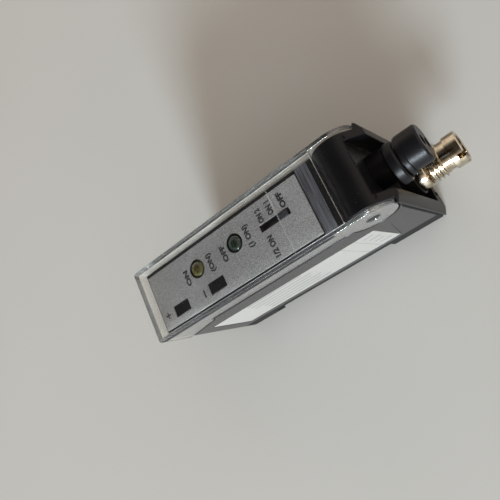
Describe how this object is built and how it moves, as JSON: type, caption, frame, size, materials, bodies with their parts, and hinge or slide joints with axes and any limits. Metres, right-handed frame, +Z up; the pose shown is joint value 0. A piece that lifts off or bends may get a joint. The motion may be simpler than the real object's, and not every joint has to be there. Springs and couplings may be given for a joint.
{
  "type": "proximity sensor",
  "caption": "Rail-mounted optical proximity sensor: black case, clear hinged dust cover over a grey control panel, light-guide port and threaded plug at the rear, sprung rail latch below",
  "frame": {"origin": "on the base plane, under the middle of the overall length and width", "axes": "X from the front to the rear connectors, Y across from the label side, Z up from the base"},
  "size_m": [0.0742, 0.018, 0.0382],
  "materials": {
    "case_black": "fine satin texture",
    "label_white": "printed film",
    "clear_cover": "clear and polished",
    "panel_grey": "speckled printed film",
    "led_green": "tinted, polished",
    "led_yellow": "tinted, polished",
    "button_black": "moulded",
    "port_black": "moulded satin",
    "seal_rubber": "matte",
    "nickel": "nickel plated brass",
    "contact_brass": "gold plated",
    "lead_jacket": "wire jacket",
    "diode_red": "tinted, polished",
    "diode_dark": "tinted, polished",
    "board_green": "lacquered laminate",
    "component_dark": "moulded",
    "tin_plate": "tin plated",
    "spring_steel": "drawn wire"
  },
  "bodies": {
    "case": {"main_case": "case_black", "side_cover": "case_black", "side_label": "label_white", "control_panel": "panel_grey", "green_led": "led_green", "yellow_led": "led_yellow", "light_guide_bush": "port_black", "bush_seal": "seal_rubber", "connector_sleeve": "nickel", "connector_insert": "port_black", "contact_pins": "contact_brass", "connector_seal": "seal_rubber", "connector_leads": "lead_jacket", "optical_block": "port_black", "emitter_diode": "diode_red", "receiver_diode": "diode_dark", "control_board": "board_green", "main_board": "board_green", "board_link": "component_dark", "board_components": "component_dark", "shield_can": "tin_plate", "tact_switches": "component_dark", "switch_domes": "tin_plate", "mode_switch": "component_dark", "latch_spring": "spring_steel"},
    "cover": {"dust_cover": "clear_cover"},
    "plus": {"plus_button": "button_black"},
    "minus": {"minus_button": "button_black"},
    "mode": {"mode_knob": "button_black"},
    "latch": {"rail_latch": "case_black"}
  },
  "joints": [
    {"name": "cover_hinge", "type": "hinge", "parent": "case", "child": "cover", "pos_m": [0.0194, 0, 0.033], "axis": [0, 1, 0], "range_deg": [0, 90]},
    {"name": "plus_press", "type": "slide", "parent": "case", "child": "plus", "axis": [0, 0, -1], "range_m": [0, 0.0004], "stiffness_N_per_m": 800},
    {"name": "minus_press", "type": "slide", "parent": "case", "child": "minus", "axis": [0, 0, -1], "range_m": [0, 0.0004], "stiffness_N_per_m": 800},
    {"name": "mode_slide", "type": "slide", "parent": "case", "child": "mode", "axis": [1, 0, 0], "range_m": [-0.0042, 0]},
    {"name": "latch_slide", "type": "slide", "parent": "case", "child": "latch", "axis": [1, 0, 0], "range_m": [0, 0.002], "stiffness_N_per_m": 300, "springref_m": -0.003, "deforming": ["latch_spring"]}
  ]
}
